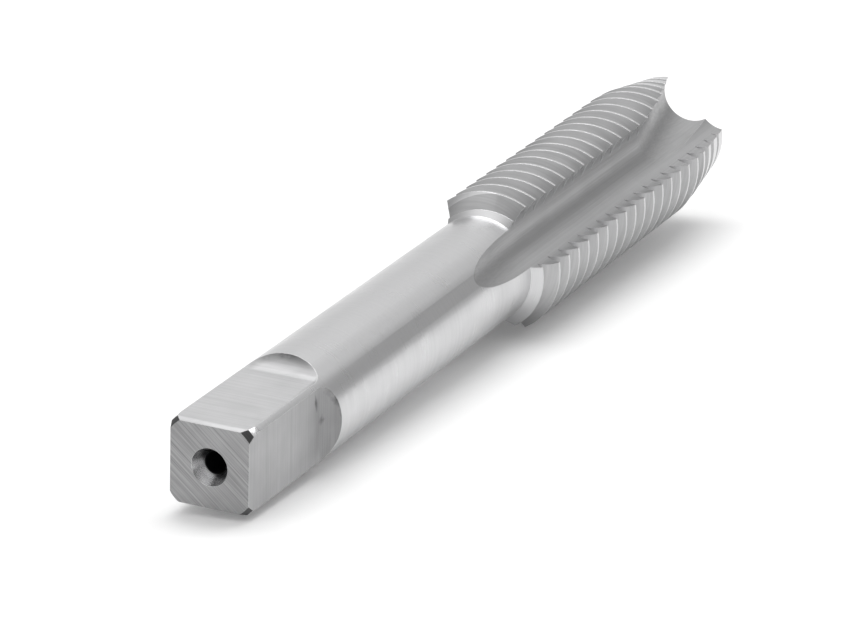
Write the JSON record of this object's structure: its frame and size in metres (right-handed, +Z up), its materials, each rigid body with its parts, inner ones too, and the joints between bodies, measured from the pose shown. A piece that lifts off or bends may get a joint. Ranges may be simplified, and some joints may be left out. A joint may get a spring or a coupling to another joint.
{
  "type": "spiral point tap",
  "caption": "Plug tap with a plain round shank, a square drive end, a right-hand thread, straight flutes and angled gashes at the point.",
  "frame": {"origin": "on the surface that the tap lies on, under the middle of its box", "axes": "+X runs from the square end to the point, +Z is up, and +Y is level and across the tap"},
  "size_m": [0.0804, 0.0112, 0.012],
  "materials": {
    "ground_steel": "ground and polished high speed steel"
  },
  "bodies": {
    "root": {"tap": "ground_steel"}
  },
  "joints": []
}
